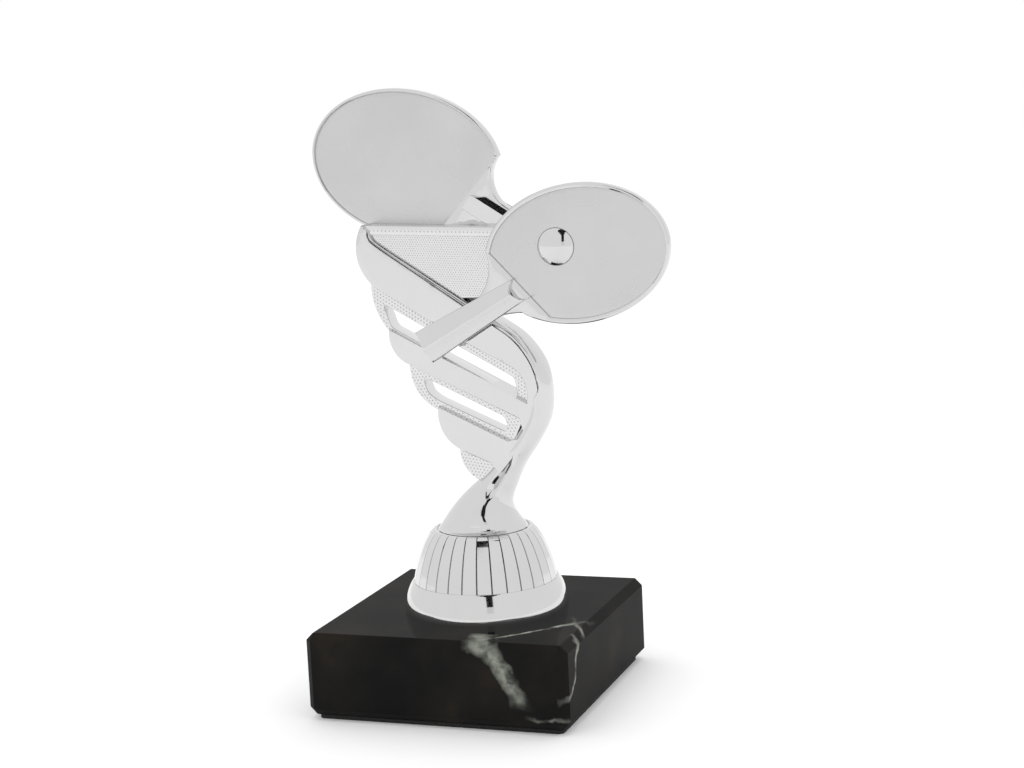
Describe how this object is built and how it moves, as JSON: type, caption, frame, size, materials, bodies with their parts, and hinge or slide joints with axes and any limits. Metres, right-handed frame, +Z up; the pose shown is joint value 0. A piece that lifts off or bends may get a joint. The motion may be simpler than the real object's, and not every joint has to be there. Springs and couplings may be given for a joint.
{
  "type": "figure trophy",
  "caption": "Silver table tennis figure trophy: crossed bats and a net on a swept banded stem with a fluted foot, screwed to a square black marble block.",
  "frame": {"origin": "centre of the square underside, on the face of the felt", "axes": "+Z up; -Y is the front, where the ball and the front bat are; +X to the right seen from the front"},
  "size_m": [0.0921, 0.065, 0.1468],
  "materials": {
    "marble": "polished black marble with a white vein",
    "felt": "black felt",
    "zinc_steel": "zinc plated",
    "brass_nut": "plain brass",
    "silver_plating": "vacuum metallised plastic, bright silver",
    "silver_mesh": "vacuum metallised plastic with moulded dimples",
    "satin_silver": "vacuum metallised plastic, satin"
  },
  "bodies": {
    "root": {"base_felt": "felt", "marble_base": "marble", "threaded_rod": "zinc_steel", "hex_nut": "zinc_steel", "flat_washer": "zinc_steel", "fluted_foot": "silver_plating", "captive_nut": "brass_nut", "stem": "silver_plating", "upper_band": "silver_plating", "middle_band": "silver_plating", "lower_band": "silver_plating", "upper_mesh_web": "silver_mesh", "middle_mesh_web": "silver_mesh", "lower_mesh_web": "silver_mesh", "net_panel": "silver_mesh", "net_tape": "silver_mesh", "rear_bat_blade": "silver_plating", "rear_bat_front_rubber": "satin_silver", "rear_bat_back_rubber": "satin_silver", "rear_bat_front_scale": "silver_plating", "rear_bat_back_scale": "silver_plating", "front_bat_blade": "silver_plating", "front_bat_front_rubber": "satin_silver", "front_bat_back_rubber": "satin_silver", "front_bat_handle_scale": "silver_plating", "ball": "silver_plating", "locating_pins": "zinc_steel"}
  },
  "joints": []
}
